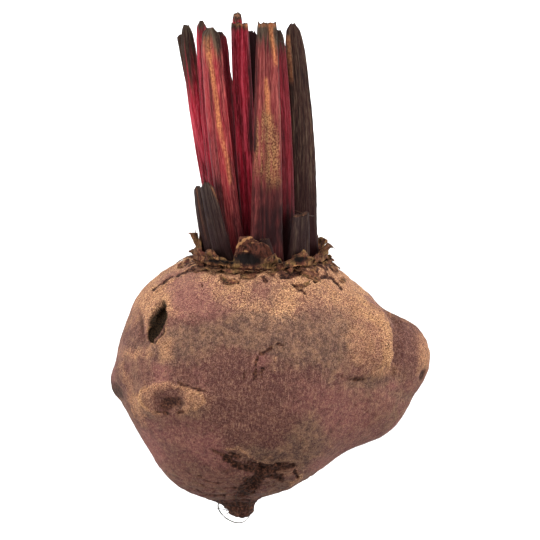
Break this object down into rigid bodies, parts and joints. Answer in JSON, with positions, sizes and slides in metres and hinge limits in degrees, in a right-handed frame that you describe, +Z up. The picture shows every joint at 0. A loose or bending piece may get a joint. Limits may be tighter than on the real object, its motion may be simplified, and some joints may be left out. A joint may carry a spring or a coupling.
{
  "type": "beetroot",
  "caption": "Lumpy root of a beetroot with a side lobe, a broken tap root and a bunch of trimmed leaf stalks, lying on its side.",
  "frame": {"origin": "centre of the bounding box seen from above, at the height of the flat spot that the root rests on", "axes": "+Y from the tap root to the cut ends of the stalks, +X towards the side lobe, +Z up"},
  "size_m": [0.0976, 0.1514, 0.0718],
  "materials": {
    "root_skin": "matte",
    "leaf_base": "matte",
    "crimson_stalk": "satin",
    "russet_stalk": "satin",
    "dry_stalk": "matte",
    "dark_stub": "matte"
  },
  "bodies": {
    "root": {"root": "root_skin", "leaf_base_ring": "leaf_base", "stalk_left": "crimson_stalk", "stalk_left_inner": "crimson_stalk", "stalk_inner_left": "crimson_stalk", "stalk_middle": "crimson_stalk", "stalk_middle_back": "crimson_stalk", "stalk_right_inner": "crimson_stalk", "stalk_back_left": "crimson_stalk", "stalk_front": "russet_stalk", "stalk_front_left": "russet_stalk", "stalk_back_right": "russet_stalk", "stalk_back": "russet_stalk", "stalk_left_back": "dry_stalk", "stalk_inner_right": "dry_stalk", "stalk_right": "dry_stalk", "stub_left": "dark_stub", "stub_front_left": "dark_stub", "stub_front": "dark_stub", "stub_right": "dark_stub", "stub_back_left": "dark_stub", "stub_back": "dark_stub", "stub_back_right": "dark_stub"}
  },
  "joints": []
}
